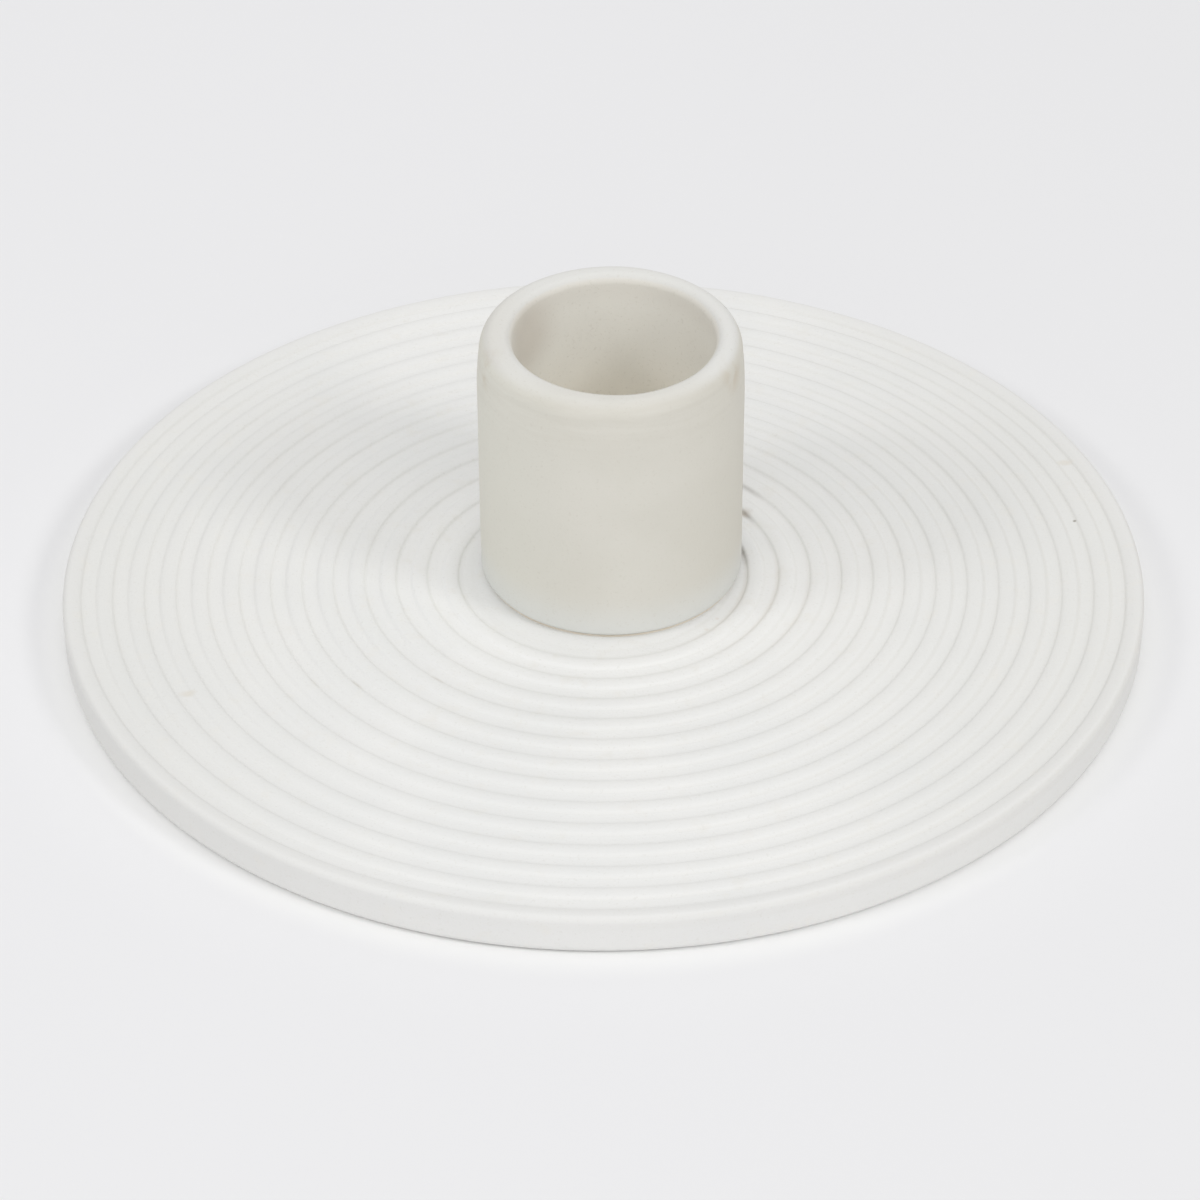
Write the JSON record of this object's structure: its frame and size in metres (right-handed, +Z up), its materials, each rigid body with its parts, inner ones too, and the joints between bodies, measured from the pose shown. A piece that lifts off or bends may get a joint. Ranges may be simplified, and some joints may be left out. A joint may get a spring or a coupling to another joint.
{
  "type": "taper candle holder",
  "caption": "Flat round ceramic dish with concentric ribs and a straight candle cup luted near its middle, to hold a taper candle upright.",
  "frame": {"origin": "centre of the dish's underside, on the surface that the holder stands on", "axes": "+Z up along the dish's axis; -Y towards the front, as the picture looks at it; +X to the right"},
  "size_m": [0.12, 0.12, 0.0342],
  "materials": {
    "dish_bisque": "matte unglazed warm white",
    "cup_bisque": "matte unglazed warm white",
    "luting_slip": "matte fired slip, pale brown"
  },
  "bodies": {
    "root": {"ribbed_dish": "dish_bisque", "candle_cup": "cup_bisque", "slip_joint": "luting_slip"}
  },
  "joints": []
}
